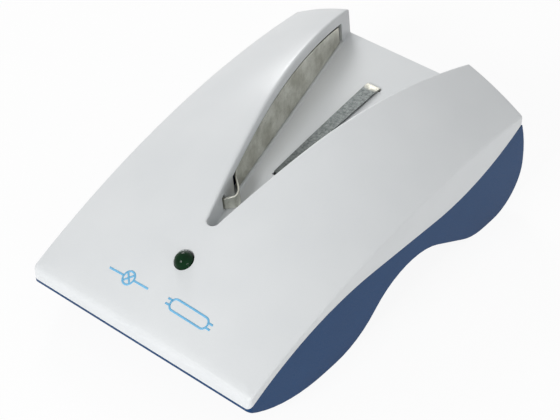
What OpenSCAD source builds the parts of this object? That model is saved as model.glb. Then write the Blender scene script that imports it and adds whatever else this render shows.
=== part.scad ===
// Battery lamp and tube tester: a wedge-shaped desk tester with a V channel on top.
// The lamp cap or the tube pins stand in the channel, between a steel side contact
// and a tinned strip on the channel floor. A lamp lights when the path is closed.
// Axes: +X to the right, +Y to the back, +Z up. The origin is on the resting plane,
// under the middle of the body. Inside the modules y is counted from the front edge.

/* [Body] */
// Overall length, front edge to the back of the rear lobe
body_len = 113.4; // [112.6:0.2:115]
// Width across the front edge
front_w = 71; // [70:0.5:73]
// Width across the back
rear_w = 76; // [75.5:0.5:78]
// Height of the top edge where it meets the front, at the corners
front_z = 14.3; // [14:0.1:15]
// How much higher that edge is on the centre line
front_bow = 0.6; // [0.4:0.1:0.8]
// Height of the crown of the top, on the centre line
crown_z = 45.4; // [45:0.2:47]
// Height of the side crease at its highest
crease_z = 31.3; // [31:0.1:31.8]
// Radius of the crown, seen from the side
crown_r = 98; // [94:1:102]
// Wall thickness of both shells
wall = 2; // [1.8:0.1:2.1]
// Rounding of the long top edges
edge_r = 0.8; // [0.6:0.1:1.2]
// Rounding of the front top edge
front_edge_r = 1.5; // [1.2:0.1:1.8]
// Corner radius in plan
corner_r = 1.3; // [1:0.1:1.8]

/* [Underside] */
// Front lobe radius, ahead of its flat
lobe_front_r = 45.5; // [44:0.5:47]
// Front lobe radius, behind its flat
lobe_back_r = 22; // [21:0.5:23]
// Height of the finger arch
arch_z = 12.9; // [12:0.1:13.2]
// Length of each flat that the tester stands on
foot_flat = 4; // [3:0.5:5]
// Radius of the back of the rear lobe
rear_lobe_r = 12.4; // [12:0.1:12.8]

/* [Channel] */
// Half angle of the V channel in plan
channel_half_angle = 12; // [11.5:0.1:12.4]
// Radius of the channel nose
nose_r = 2.1; // [2:0.1:2.4]
// Distance of the nose centre from the front edge
nose_y = 29.6; // [29:0.2:31]
// Floor height at the back
floor_rear_z = 31.5; // [31.3:0.1:32]
// Floor slope, falling towards the nose
floor_slope = 4.6; // [4.2:0.1:4.8]

/* [Contacts] */
// Sheet thickness of the side contact
side_t = 0.4; // [0.3:0.05:0.5]
// Width of the centre strip at its front end
strip_front_w = 2.8; // [2.6:0.1:3]
// Width of the centre strip at its back end
strip_rear_w = 4.2; // [4:0.1:4.4]
// Sheet thickness of the centre strip
strip_t = 0.4; // [0.3:0.05:0.5]
// Length of the centre strip along the floor
strip_len = 41; // [38:1:42]
// Travel of the centre strip when it is pressed
strip_travel = 0.3; // [0.2:0.1:0.4]

/* [Lamp and board] */
// Indicator lens diameter
led_d = 5; // [4.8:0.1:5.2]
// Distance of the indicator from the front edge
led_y = 18.2; // [17.5:0.1:19]
// Height of the lens dome above the surface round it
led_rise = 2; // [1.6:0.1:2.2]
// Board thickness
board_t = 1.6; // [1.4:0.1:1.8]

/* [Battery] */
// Length of the nine-volt block, without its terminals
battery_len = 46.4; // [45.5:0.1:46.6]
// Width of the block
battery_w = 26.2; // [25.5:0.1:26.4]
// Thickness of the block
battery_h = 17.3; // [16.5:0.1:17.4]
// Spacing of the two terminals
terminal_pitch = 12.7; // [12.5:0.1:12.9]

/* [Fits] */
// Gap round the battery door
door_gap = 0.3; // [0.25:0.05:0.35]
// Gap round the lens in its hole
led_gap = 0.1; // [0.08:0.02:0.2]
// Gap round the screw shanks
screw_gap = 0.1; // [0.05:0.05:0.2]

/* [Hidden] */
$fn = 48;

// ---- side profile: the lobes, the arch and the seam ----
foot_y = 28.5;
lobe2_y = foot_y + foot_flat;
rear_c_y = body_len - rear_lobe_r;
rear_foot_y = rear_c_y - foot_flat;
// the arch peaks a little ahead of the middle between the two lobes
arch_lead = 1.25;
arch_y = (lobe2_y + rear_foot_y) / 2 - arch_lead;
flank_r = 20;
arch_drop = lobe_back_r - arch_z;
arch_r = (pow(arch_y - lobe2_y, 2) + pow(arch_drop, 2) - pow(lobe_back_r, 2)) / (2 * arch_z);
arch_c_z = arch_z - arch_r;
// the straight flank is the inner tangent of the arch circle and the rear lobe circle
flank_dist = norm([rear_foot_y - arch_y, flank_r - arch_c_z]);
flank_dir = atan2(flank_r - arch_c_z, rear_foot_y - arch_y) - asin((arch_r + flank_r) / flank_dist);
join_dir = atan2(lobe_back_r - arch_c_z, lobe2_y - arch_y);
back_r = 42;
back_c_y = rear_c_y + rear_lobe_r - back_r;
// height of the top of the back above the centre of its arc
back_rise = 14.8;
rear_y = back_c_y + sqrt(pow(back_r, 2) - pow(back_rise, 2));

function arc(cy, cz, r, a0, a1, n) =
  [for (i = [0:n]) [cy + r * cos(a0 + (a1 - a0) * i / n), cz + r * sin(a0 + (a1 - a0) * i / n)]];

// underside and back, from the front edge round to the top of the back, moved in by d
function underside(d) = concat(
  arc(foot_y, lobe_front_r, lobe_front_r - d,
    180 + acos((foot_y - d) / (lobe_front_r - d)), 270, 9),
  arc(lobe2_y, lobe_back_r, lobe_back_r - d, 270, 180 + join_dir, 6),
  arc(arch_y, arch_c_z, arch_r + d, join_dir, 90 + flank_dir, 10),
  arc(rear_foot_y, flank_r, flank_r - d, 270 + flank_dir, 270, 5),
  arc(rear_c_y, rear_lobe_r, rear_lobe_r - d, 270, 360, 12),
  arc(back_c_y, rear_lobe_r, back_r - d, 2, 24, 5));

seam_front_z = 10.8;
seam_peak_y = 41;
seam_peak_z = 21.1;
seam_dip_y = body_len - 36.4;
seam_dip_z = 19.1;
seam_r1 = (pow(seam_peak_y, 2) + pow(seam_peak_z - seam_front_z, 2))
  / (2 * (seam_peak_z - seam_front_z));
seam_r2 = 70;
seam_line_slope = -0.064;
seam_y1 = seam_peak_y - seam_line_slope * seam_r1;
seam_y2 = seam_dip_y + seam_line_slope * seam_r2;
function seam_arc1(y) = seam_peak_z - seam_r1 + sqrt(pow(seam_r1, 2) - pow(y - seam_peak_y, 2));
function seam_arc2(y) = seam_dip_z + seam_r2 - sqrt(pow(seam_r2, 2) - pow(y - seam_dip_y, 2));
function seam_z(y) = y < seam_y1 ? seam_arc1(y)
  : y > seam_y2 ? seam_arc2(y)
  : seam_arc1(seam_y1) + (seam_arc2(seam_y2) - seam_arc1(seam_y1)) * (y - seam_y1) / (seam_y2 - seam_y1);
far = 6;
function seam_line(lift) = [for (i = [0:22]) let (y = -1 + (body_len + far) * i / 22)
  [y, seam_z(min(y, rear_y)) + lift]];

// ---- plan: a trapezium with rounded front corners ----
function half_w(y) = front_w / 2 + (rear_w - front_w) / 2 * y / rear_y;
function plan(d, back) = let (r = max(corner_r - d, 0.6), xf = half_w(0) - d, xr = half_w(back) - d)
  concat(
    [for (i = [0:6]) [xf - r + r * cos(-90 + 15 * i), d + r + r * sin(-90 + 15 * i)]],
    [[xr, back], [-xr, back]],
    [for (i = [0:6]) [-xf + r + r * cos(180 + 15 * i), d + r + r * sin(180 + 15 * i)]]);

// ---- top surface ----
crown_y = body_len - 26.4;
crown_c_z = crown_z - crown_r;
// a flatter arc runs on from the crown to the front edge, without a kink
ramp_end = body_len - 57.4;
crown_dir = [crown_y - ramp_end, -sqrt(pow(crown_r, 2) - pow(crown_y - ramp_end, 2))] / crown_r;
ramp_join = [crown_y, crown_c_z] - crown_r * crown_dir;
ramp_run = ramp_join - [0, front_z + front_bow];
ramp_r = -(ramp_run * ramp_run) / (2 * (ramp_run * crown_dir));
ramp_c = ramp_join + ramp_r * crown_dir;
crease_y = body_len - 25.4;
crease_rise = crease_z - front_z;
crease_r = (pow(crease_y, 2) + pow(crease_rise, 2)) / (2 * crease_rise);
function crown_line(y) = y < ramp_end ? ramp_c[1] + sqrt(pow(ramp_r, 2) - pow(y - ramp_c[0], 2))
  : crown_c_z + sqrt(pow(crown_r, 2) - pow(y - crown_y, 2));
function crease_line(y) = crease_z - crease_r + sqrt(pow(crease_r, 2) - pow(y - crease_y, 2));
function smooth_z(x, y) = let (w = half_w(y))
  crease_line(y) + (crown_line(y) - crease_line(y)) * (1 - pow(x / w, 2));
function round_off(e, r) = e >= r ? 0 : r - sqrt(pow(r, 2) - pow(r - max(e, 0), 2));
back_edge_r = 0.8;
// half width of the plan at y, with its front corners rounded, moved in by d
function plan_half(y, d) = half_w(y) - d - round_off(y - d, max(corner_r - d, 0.6));
// height of a skin lying d inside the top surface
function skin_z(x, y, d) = smooth_z(min(abs(x), half_w(y)), y) - d * 1.12
  - round_off(plan_half(y, d) - abs(x), max(edge_r - d, 0.6))
  - round_off(y - d, max(front_edge_r - d, 0.6))
  - round_off(rear_y - d - y, max(back_edge_r - d, 0.4));

// ---- channel ----
draft_slope = 0.1;
draft_ref_z = 34;
wall_foot_x = nose_r / cos(channel_half_angle);
function channel_half(y) = wall_foot_x + (y - nose_y) * tan(channel_half_angle);
function floor_z(y) = floor_rear_z - (rear_y - y) * tan(floor_slope);
function rim_z(y) = smooth_z(channel_half(y) + 0.8, y);
trough_wall = 1.8;
trough_floor = 2;
beyond = 125;
function channel_plan(grow) = let (a = channel_half_angle, r = nose_r + grow)
  concat(
    [for (i = [0:12]) let (turn = 180 + a + (180 - 2 * a) * i / 12) [r * cos(turn), nose_y + r * sin(turn)]],
    [[channel_half(beyond) + grow / cos(a), beyond], [-channel_half(beyond) - grow / cos(a), beyond]]);

// solid between two outlines with the same number of points
module loft(low, z0, high, z1) {
  n = len(low);
  polyhedron(
    points = concat([for (p = low) [p[0], p[1], z0]], [for (p = high) [p[0], p[1], z1]]),
    faces = concat(
      [[for (i = [0:n - 1]) i]],
      [[for (i = [n - 1:-1:0]) n + i]],
      [for (i = [0:n - 1]) [i, n + i, n + (i + 1) % n, (i + 1) % n]]));
}

module placed() translate([0, -body_len / 2, 0]) children();

// a side profile in (y, z), drawn out to +-half in x
module across(half, points) rotate([90, 0, 90]) translate([0, 0, -half])
  linear_extrude(2 * half) polygon(points);

// a side profile drawn out from x0 to x1
module across_from(x0, x1, points) rotate([90, 0, 90]) translate([0, 0, x0])
  linear_extrude(x1 - x0) polygon(points);

// solid of everything under a skin that lies d inside the top and the outer walls
module under_skin(d, nx, ny) {
  base_z = 3 + d;
  // stations are close together where the edges are rounded
  bends = [0, 0.08, 0.35, 1];
  edge = max(edge_r - d, 0.6);
  front = max(front_edge_r - d, 0.6);
  ys = concat([for (b = bends) d + b * front],
    [for (j = [1:ny - 1]) d + front + (rear_y - 2 * d - front - back_edge_r) * j / ny],
    [rear_y - d - back_edge_r, rear_y - d - 0.2, rear_y - d]);
  rows = [for (y = ys) let (w = plan_half(y, d), m = w - edge)
    let (side = [for (b = bends) w - b * edge])
    let (xs = concat(side, [for (i = [1:2 * nx - 1]) m * (1 - i / nx)], [for (k = [3:-1:0]) -side[k]]))
    [for (i = [len(xs) - 1:-1:0]) [xs[i], y, skin_z(xs[i], y, d)]]];
  nc = len(rows[0]);
  last = len(ys) - 1;
  top = [for (row = rows) for (p = row) p];
  base = [for (row = rows) for (p = row) [p[0], p[1], base_z]];
  m = len(top);
  polyhedron(
    points = concat(top, base),
    faces = concat(
      [for (j = [0:last - 1]) for (i = [0:nc - 2]) let (k = j * nc + i)
        each [[k, k + nc, k + 1], [k + 1, k + nc, k + nc + 1]]],
      // base: fans at the front and back, plain strips between them
      [for (i = [0:nc - 2]) [m + i, m + i + 1, m + nc]],
      [[m + nc - 1, m + 2 * nc - 1, m + nc]],
      [for (j = [1:last - 2]) let (k = m + j * nc) [k, k + nc - 1, k + 2 * nc - 1, k + nc]],
      [[m + (last - 1) * nc, m + last * nc - 1, m + last * nc]],
      [for (i = [0:nc - 2]) [m + last * nc + i, m + last * nc - 1, m + last * nc + i + 1]],
      [for (i = [0:nc - 2]) [i, i + 1, m + i + 1, m + i]],
      [for (i = [0:nc - 2]) let (k = last * nc + i) [k + 1, k, m + k, m + k + 1]],
      [for (j = [0:last - 1]) let (k = j * nc) [k + nc, k, m + k, m + k + nc]],
      [for (j = [0:last - 1]) let (k = j * nc + nc - 1) [k, k + nc, m + k + nc, m + k]]));
}

module below_seam(lift) across(60, concat([[body_len + far, -20], [-1, -20]], seam_line(lift)));
module below_floor(down) across(60, [[-1, floor_z(-1) - down], [-1, -20], [beyond + 5, -20],
  [beyond + 5, floor_z(beyond + 5) - down]]);

module channel_space(grow) difference() {
  low_z = 15;
  high_z = 55;
  loft(channel_plan(grow - (draft_ref_z - low_z) * draft_slope), low_z,
    channel_plan(grow + (high_z - draft_ref_z) * draft_slope), high_z);
  below_floor(grow > 0 ? trough_floor : 0);
}

// the side contact leaves the wall in a smooth bulge, turns back in a tight hook,
// and a slanted front piece leads it into its slot
bulge = 2.85;
bulge_u0 = 16.2;
bulge_u1 = 9.9;
hook_r = 1.3;
hook_turn = 65;
tail_u = bulge_u1 - hook_r * sin(hook_turn)
  - (bulge - hook_r * (1 - cos(hook_turn))) * tan(90 - hook_turn);

// frame of the left channel wall: x into the channel, y along the wall, z up the wall
wall_lean = atan(draft_slope);
module on_left_wall() translate([-wall_foot_x, nose_y, draft_ref_z])
  rotate([0, 0, channel_half_angle]) rotate([0, -wall_lean, 0]) children();
function along(y) = (y - nose_y) / cos(channel_half_angle);
function y_of(u) = nose_y + u * cos(channel_half_angle);

window_front_u = 13.2;
window_back_u = along(body_len - 7.6);
window_drop = 2.9;
sill = 0.5;
leaf_gap_top = 0.8;
leaf_gap = 0.2;
// outline of the window in the wall frame, shrunk by low at the sill and high at the top
function window(u0, u1, low, high) = concat(
  [for (i = [0:10]) let (u = u0 + (u1 - u0) * i / 10) [u, floor_z(y_of(u)) - draft_ref_z + low]],
  [for (i = [10:-1:0]) let (u = u0 + (u1 - u0) * i / 10) [u, rim_z(y_of(u)) - draft_ref_z - high]]);
slot_half = 0.7;
slot_drop = 2.9;
strip_slot_gap = 0.25;

// ---- screws, bosses and posts ----
screw_d = 2.6;
head_d = 5.2;
head_h = 1.8;
boss_d = 5.8;
well_d = head_d + 1;
front_boss_y = 24;
front_boss = [half_w(front_boss_y) - 9, front_boss_y];
rear_boss = [half_w(rear_foot_y) - 5.2, rear_foot_y];
front_split_z = 12;
rear_split_z = 16;
front_seat_z = 5;
rear_seat_z = 9;
screw_len = 15;
// how far a screw hole runs on past its screw
hole_end = 0.6;
housing_points = [for (s = [-1, 1]) each [
  [s * front_boss[0], front_boss[1], front_seat_z, front_split_z],
  [s * rear_boss[0], rear_boss[1], rear_seat_z, rear_split_z]]];

board_top = 15.6;
board_x = 15;
board_y0 = 11;
board_y1 = 39;
post_d = 4.6;
post_points = [for (s = [-1, 1]) [s * 11.5, 27]];
board_screw_d = 2;
board_screw_reach = 5;

// ---- battery bay ----
bay_side_room = 4;
bay_x = battery_len / 2 + bay_side_room;
bay_wall = 1.5;
bay_y1 = rear_c_y + 8.9;
bay_gap = 0.4;
bay_y0 = bay_y1 - battery_w - 2 * bay_gap;
bay_top = 25.1;
bay_lid = 1.3;
battery_x0 = -bay_x + 0.3;
battery_z0 = 7.3;
battery_y0 = bay_y0 + bay_gap;
battery_mid_y = battery_y0 + battery_w / 2;
battery_mid_z = battery_z0 + battery_h / 2;
// the back edge of the door opening runs parallel to the straight flank
edge_z = 7;
slide = [cos(flank_dir), sin(flank_dir)];
function opening(d) = [
  [bay_y0 + d, -9], [bay_y0 + d, bay_top], [bay_y1 - d, bay_top],
  [bay_y1 - d + slide[1] * d, edge_z - d * 1.1],
  [bay_y1 - d + slide[1] * d + slide[0] * 18, edge_z - d * 1.1 + slide[1] * 18]];

// ring of the underside between two depths
module skin_ring(d0, d1, half) difference() {
  across(half, concat(underside(d0), [[-far, 40]]));
  across(half + 1, concat(underside(d1), [[-far, 41]]));
}

lap_x = 14;
lap_half = 5;
lap_len = 2.6;
lap_d0 = 1.1;
lap_d1 = 1.8;

// what hangs from the roof inside the upper shell: screw bosses and board posts
module hangers() {
  for (p = housing_points) translate([p[0], p[1], p[3] + 0.1]) cylinder(h = 40, d = boss_d);
  for (p = post_points) translate([p[0], p[1], board_top]) cylinder(h = 30, d = post_d);
}
module upper_shell() color([0.87, 0.88, 0.89]) placed() {
  difference() {
    under_skin(0, 5, 14);
    // hollow, up to the skin and down past the seam
    difference() {
      union() {
        under_skin(wall, 4, 10);
        below_seam(0);
      }
      hangers();
      channel_space(trough_wall);
    }
    channel_space(0);
    // lens hole
    translate([0, led_y, board_top]) cylinder(h = 20, d = led_d + 2 * led_gap);
    for (p = housing_points) translate([p[0], p[1], p[3] - 1])
      cylinder(h = p[2] + screw_len + hole_end - p[3] + 1, d = screw_d + 2 * screw_gap);
    for (p = post_points) translate([p[0], p[1], board_top - 1])
      cylinder(h = board_screw_reach + hole_end + 1, d = board_screw_d + 2 * screw_gap);
    // window, tail slot and the two slots of the centre strip
    on_left_wall() across_wall(window(window_front_u, window_back_u, sill, window_drop));
    on_left_wall() across_wall(window(tail_u - slot_half, tail_u + slot_half, sill, slot_drop));
    for (y = [strip_y0, strip_y1]) translate([0, y, floor_z(y)])
      cube([strip_half(y) * 2 + 2 * strip_slot_gap, strip_t + 3 * strip_slot_gap, 12], center = true);
  }
}
// cut through the left wall, along the outline
module across_wall(points) rotate([90, 0, 90]) translate([0, 0, -2 * trough_wall])
  linear_extrude(2 * trough_wall + 1) polygon(points);

module lower_shell() color([0.22, 0.32, 0.47]) placed() {
  rib_depth = 3;
  rib_rise = 1.4;
  difference() {
    union() {
      difference() {
        intersection() {
          across(60, concat(underside(0), [[body_len, 60], [0, 60]]));
          linear_extrude(60) polygon(plan(0, body_len + far));
          below_seam(0);
        }
        intersection() {
          across(60, concat(underside(wall), [[rear_y - wall, 61], [wall, 61]]));
          linear_extrude(60) polygon(plan(wall, body_len + far));
        }
      }
      // locating rib that steps inside the upper shell
      for (side = [-1, 1]) intersection() {
        rib_strip(side);
        difference() {
          below_seam(rib_rise);
          below_seam(-rib_depth);
        }
      }
      for (p = housing_points) intersection() {
        translate([p[0], p[1], 0]) cylinder(h = p[3], d = well_d + 2.4);
        across(60, concat(underside(1), [[rear_y - wall, 61], [wall, 61]]));
      }
      // battery bay
      intersection() {
        translate([-bay_x - bay_wall, bay_y0 - bay_wall, 0])
          cube([2 * (bay_x + bay_wall), 40, bay_top + bay_lid]);
        across(60, concat(underside(1), [[rear_y - wall + 1, 61], [1, 61]]));
      }
    }
    across(bay_x, opening(0));
    for (p = housing_points) {
      translate([p[0], p[1], -1]) cylinder(h = p[2] + 1, d = well_d);
      translate([p[0], p[1], -1]) cylinder(h = p[3] + 3, d = screw_d + 0.8);
    }
    // pockets for the tongues of the door
    for (s = [-1, 1]) intersection() {
      translate([s * lap_x - lap_half - door_gap, bay_y0 - lap_len - 0.4, 0])
        cube([2 * (lap_half + door_gap), lap_len + 1, 12]);
      skin_ring(lap_d0 - door_gap, lap_d1 + door_gap, 30);
    }
    // notch for the battery leads
    translate([bay_x - 0.5, bay_y0 + 1.2, bay_top - 3.4]) cube([bay_wall + 1, 7, 3.4]);
  }
  // ledges that the door closes against
  for (s = [-1, 1]) intersection() {
    translate([s * (bay_x - 0.6) - 0.9, bay_y0 + 6, 0]) cube([1.8, 16, 8]);
    skin_ring(lap_d1 + door_gap, lap_d1 + door_gap + 1.3, 30);
  }
}
module rib_strip(side) {
  gap = 0.15;
  thick = 1;
  y0 = seam_peak_y - 4;
  y1 = bay_y0 - 5;
  polygon_at = [
    [side * (half_w(y0) - wall - gap), y0], [side * (half_w(y1) - wall - gap), y1],
    [side * (half_w(y1) - wall - gap - thick), y1], [side * (half_w(y0) - wall - gap - thick), y0]];
  root = [
    [side * (half_w(y0) - 1), y0], [side * (half_w(y1) - 1), y1],
    [side * (half_w(y1) - wall - gap - thick), y1], [side * (half_w(y0) - wall - gap - thick), y0]];
  linear_extrude(60) polygon(polygon_at);
  intersection() {
    linear_extrude(60) polygon(root);
    below_seam(-0.6);
  }
}

module battery_door() color([0.22, 0.32, 0.47]) placed() {
  half = bay_x - door_gap;
  intersection() {
    skin_ring(0, lap_d1, half);
    across(half, opening(door_gap));
    translate([-half, 0, -1]) cube([2 * half, body_len, 13]);
  }
  // tongues that slip under the front edge of the opening
  for (s = [-1, 1]) intersection() {
    translate([s * lap_x - lap_half, bay_y0 - lap_len, 0]) cube([2 * lap_half, lap_len + 1.5, 12]);
    skin_ring(lap_d0, lap_d1, half);
  }
  // ribs that carry the pad
  for (s = [-1:1]) intersection() {
    translate([s * 9 - 0.6, pad_y0 + 0.5, 0]) cube([1.2, pad_len - 1, pad_z0()]);
    across(half, concat(underside(1), [[rear_y, 40], [0, 40]]));
  }
  // finger ridges on the back of the door
  for (i = [0:3]) on_rear_lobe(300 + 7 * i) cylinder(h = grip_len, r = grip_r, center = true, $fn = 24);
}
grip_len = 14;
grip_r = 0.45;
module on_rear_lobe(a)
  translate([0, rear_c_y + rear_lobe_r * cos(a), rear_lobe_r + rear_lobe_r * sin(a)])
    rotate([0, 90, 0]) children();

pad_t = 1.6;
pad_w = 30;
pad_len = 15;
pad_y0 = bay_y0 + 5.6;
function pad_z0() = battery_z0 - 0.2 - pad_t;
module door_pad() color([0.16, 0.16, 0.17]) placed()
  translate([-pad_w / 2, pad_y0, pad_z0()]) cube([pad_w, pad_len, pad_t]);

// ---- battery ----
cap_t = 2;
case_corner_r = 1.6;
module battery_case() color([0.24, 0.25, 0.27]) placed()
  translate([battery_x0, battery_y0, battery_z0]) block(battery_len - cap_t, case_corner_r);
module block(len_x, r) rotate([90, 0, 90]) linear_extrude(len_x) rounded_rect(battery_w, battery_h, r);
module rounded_rect(w, h, r) {
  translate([r, 0]) square([w - 2 * r, h]);
  translate([0, r]) square([w, h - 2 * r]);
  for (x = [r, w - r]) for (y = [r, h - r]) translate([x, y]) circle(r);
}
module battery_end_cap() color([0.1, 0.1, 0.11]) placed()
  translate([battery_x0 + battery_len - cap_t, battery_y0, battery_z0]) block(cap_t, case_corner_r);

terminal_h = 1.9;
terminal_ys = [battery_mid_y - terminal_pitch / 2, battery_mid_y + terminal_pitch / 2];
terminal_x = battery_x0 + battery_len;
module battery_terminals() color([0.78, 0.78, 0.76]) placed() {
  // round stud
  translate([terminal_x, terminal_ys[0], battery_mid_z]) rotate([0, 90, 0]) rotate_extrude()
    polygon([[0, 0], [3.6, 0], [3.6, 0.4], [2.6, 0.6], [2.6, 1.2],
      [2.9, 1.4], [2.9, 1.7], [2.7, terminal_h], [0, terminal_h]]);
  // flower socket: a ring cut into six petals
  translate([terminal_x, terminal_ys[1], battery_mid_z]) rotate([0, 90, 0]) difference() {
    rotate_extrude() polygon([[0, 0], [4.2, 0], [4.2, terminal_h - 0.2],
      [3.9, terminal_h], [3.3, terminal_h], [3.2, 0.6], [0, 0.6]]);
    for (i = [0:5]) rotate([0, 0, 60 * i]) translate([2.4, -0.3, 0.7]) cube([3, 0.6, 3]);
  }
}

// ---- battery contacts ----
carrier_x0 = bay_x - 2;
carrier_t = 1.7;
carrier_z0 = 9.5;
carrier_z1 = 23;
module contact_carrier() color([0.12, 0.12, 0.12]) placed()
  translate([carrier_x0, battery_y0 + 0.4, carrier_z0]) difference() {
    cube([carrier_t, battery_w - 0.8, carrier_z1 - carrier_z0]);
    for (y = terminal_ys) translate([-1, y - battery_y0 - 0.4 - 1.5, 4]) cube([4, 3, 2]);
  }
leaf_t = 0.4;
leaf_w = 6;
module leaf(y) {
  tip_x = terminal_x + terminal_h + 0.1;
  placed() translate([0, y + leaf_w / 2, 0]) rotate([90, 0, 0]) linear_extrude(leaf_w) polygon(concat(
    [[carrier_x0, carrier_z0 + 1.5], [carrier_x0, carrier_z1 + 0.6], [carrier_x0 - leaf_t, carrier_z1 + 0.6]],
    [[carrier_x0 - leaf_t, carrier_z0 + 4.4]],
    [[tip_x + 0.6, battery_mid_z + 2.4], [tip_x + leaf_t, battery_mid_z + 2.4]],
    [[tip_x, battery_mid_z + 2.2], [tip_x, battery_mid_z + 0.6], [tip_x + leaf_t, battery_mid_z + 0.6]],
    [[tip_x + leaf_t + 0.2, battery_mid_z + 1.6]],
    [[carrier_x0 - leaf_t, carrier_z0 + 3.6], [carrier_x0 - leaf_t, carrier_z0 + 1.5]]));
}
module positive_leaf() color([0.8, 0.79, 0.76]) leaf(terminal_ys[0]);
module negative_leaf() color([0.8, 0.79, 0.76]) leaf(terminal_ys[1]);

// ---- board and its parts ----
lead_d = 0.5;
hole_d = 0.9;
lead_below = 1.4;
solder_h = 0.7;
board_bottom = board_top - board_t;
led_pitch = 2.54;
led_holes = [for (s = [-1, 1]) [s * led_pitch / 2, led_y]];
resistor_span = 9;
resistor_rows = [[-13.4, 15], [-13.4, 19.5], [3.4, 33.4]];
resistor_holes = [for (r = resistor_rows) for (k = [0, 1]) [r[0] + k * resistor_span, r[1]]];
transistor_spots = [[8.6, 18.6], [-3.2, 32.8]];
transistor_holes = [for (t = transistor_spots) for (k = [-1:1]) [t[0] + k * 1.9, t[1]]];
capacitor_spot = [8.6, 12.9];
capacitor_holes = [for (s = [-1, 1]) [capacitor_spot[0] + s * 1.25, capacitor_spot[1]]];
wire_holes = [[13.2, 34.6], [13.2, 37.2], [-9, 36.6], [1.2, 36.8]];
all_holes = concat(led_holes, resistor_holes, transistor_holes, capacitor_holes, wire_holes);

module circuit_board() color([0.62, 0.45, 0.24]) placed() difference() {
  translate([-board_x, board_y0, board_bottom]) cube([2 * board_x, board_y1 - board_y0, board_t]);
  for (h = all_holes) translate([h[0], h[1], board_bottom - 1])
    cylinder(h = board_t + 2, d = hole_d, $fn = 16);
  for (p = post_points) translate([p[0], p[1], board_bottom - 1])
    cylinder(h = board_t + 2, d = board_screw_d + 0.5);
}
module solder_joints() color([0.75, 0.75, 0.77]) placed()
  for (h = all_holes) translate([h[0], h[1], board_bottom - solder_h]) difference() {
    cylinder(h = solder_h, d1 = 1, d2 = 2 * hole_d, $fn = 16);
    translate([0, 0, -1]) cylinder(h = 3, d = lead_d + 0.1, $fn = 16);
  }
module board_screws() color([0.7, 0.7, 0.72]) placed()
  for (p = post_points) translate([p[0], p[1], board_bottom]) mirror([0, 0, 1])
    screw(board_screw_d, 2 * board_screw_d, 1.4, -(board_t + board_screw_reach));

// screw along z: head above the seat at z = 0, shank down to the given depth
module screw(d, hd, hh, depth) {
  difference() {
    union() {
      cylinder(h = hh * 0.4, d = hd);
      translate([0, 0, hh * 0.4]) cylinder(h = hh * 0.6, d1 = hd, d2 = hd * 0.6);
    }
    // cross recess
    for (a = [0, 90]) rotate([0, 0, a]) translate([0, 0, hh]) cube([hd / 2, hd / 7, hh], center = true);
  }
  translate([0, 0, depth + 0.8]) cylinder(h = -depth - 0.8, d = d);
  translate([0, 0, depth]) cylinder(h = 0.8, d1 = d * 0.4, d2 = d);
}
module housing_screws() color([0.6, 0.6, 0.62]) placed()
  for (p = housing_points) translate([p[0], p[1], p[2]]) mirror([0, 0, 1])
    screw(screw_d, head_d, head_h, -screw_len);

led_total = 8.6;
flange_h = 1;
led_base_z = crown_line(led_y) + led_rise - led_total;
module led_lens() color([0.05, 0.28, 0.13]) placed() translate([0, led_y, led_base_z]) rotate_extrude()
  union() {
    square([led_d / 2 + 0.4, flange_h]);
    square([led_d / 2, led_total - led_d / 2]);
    intersection() {
      translate([0, led_total - led_d / 2]) circle(led_d / 2);
      square([led_d, led_total]);
    }
  }
module led_leads() color([0.75, 0.75, 0.77]) placed()
  for (h = led_holes) translate([h[0], h[1], board_bottom - lead_below])
    cylinder(h = led_base_z - board_bottom + lead_below, d = lead_d, $fn = 16);

resistor_d = 2.2;
resistor_len = 6;
resistor_z = board_top + resistor_d / 2 + 0.1;
module resistors() color([0.75, 0.66, 0.5]) placed()
  for (r = resistor_rows) translate([r[0] + resistor_span / 2, r[1], resistor_z]) rotate([0, 90, 0]) {
    cylinder(h = resistor_len - 2, d = resistor_d - 0.4, center = true, $fn = 24);
    for (s = [-1, 1]) translate([0, 0, s * (resistor_len / 2 - 0.9)])
      cylinder(h = 1.8, d = resistor_d, center = true, $fn = 24);
  }
module resistor_leads() color([0.75, 0.75, 0.77]) placed()
  for (r = resistor_rows) for (s = [-1, 1]) translate([r[0] + resistor_span / 2, r[1], 0]) {
    reach = resistor_span / 2;
    translate([s * resistor_len / 2, 0, resistor_z]) rotate([0, s * 90, 0])
      cylinder(h = reach - resistor_len / 2, d = lead_d, $fn = 16);
    translate([s * reach, 0, resistor_z]) sphere(d = lead_d, $fn = 16);
    translate([s * reach, 0, board_bottom - lead_below])
      cylinder(h = resistor_z - board_bottom + lead_below, d = lead_d, $fn = 16);
  }

transistor_d = 4.4;
transistor_h = 2.6;
transistor_lift = 0.8;
module transistors() color([0.07, 0.07, 0.08]) placed()
  for (t = transistor_spots) translate([t[0], t[1], board_top + transistor_lift]) difference() {
    cylinder(h = transistor_h + (t[0] < 0 ? 0.6 : 0), d = transistor_d + 0.4);
    translate([-4, 1.1, -1]) cube([8, 8, 8]);
  }
module transistor_legs() color([0.75, 0.75, 0.77]) placed()
  for (h = transistor_holes) translate([h[0], h[1], board_bottom - lead_below])
    cylinder(h = board_t + lead_below + transistor_lift, d = lead_d, $fn = 16);

capacitor_d = 4;
module capacitor() color([0.8, 0.5, 0.2]) placed() {
  translate([capacitor_spot[0], capacitor_spot[1], board_top + 0.2]) cylinder(h = 0.9, d = capacitor_d);
  for (h = capacitor_holes) translate([h[0], h[1], board_bottom - lead_below])
    cylinder(h = board_t + lead_below + 0.2, d = lead_d, $fn = 16);
}

// ---- contacts in the channel ----
// polygon of a strip of thickness t along a path
function unit(v) = v / norm(v);
function side_of(path, i) =
  let (d = unit(path[min(i + 1, len(path) - 1)] - path[max(i - 1, 0)])) [-d[1], d[0]];
function ribbon(path, t) = concat(
  [for (i = [0:len(path) - 1]) path[i] + side_of(path, i) * t / 2],
  [for (i = [len(path) - 1:-1:0]) path[i] - side_of(path, i) * t / 2]);

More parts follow.
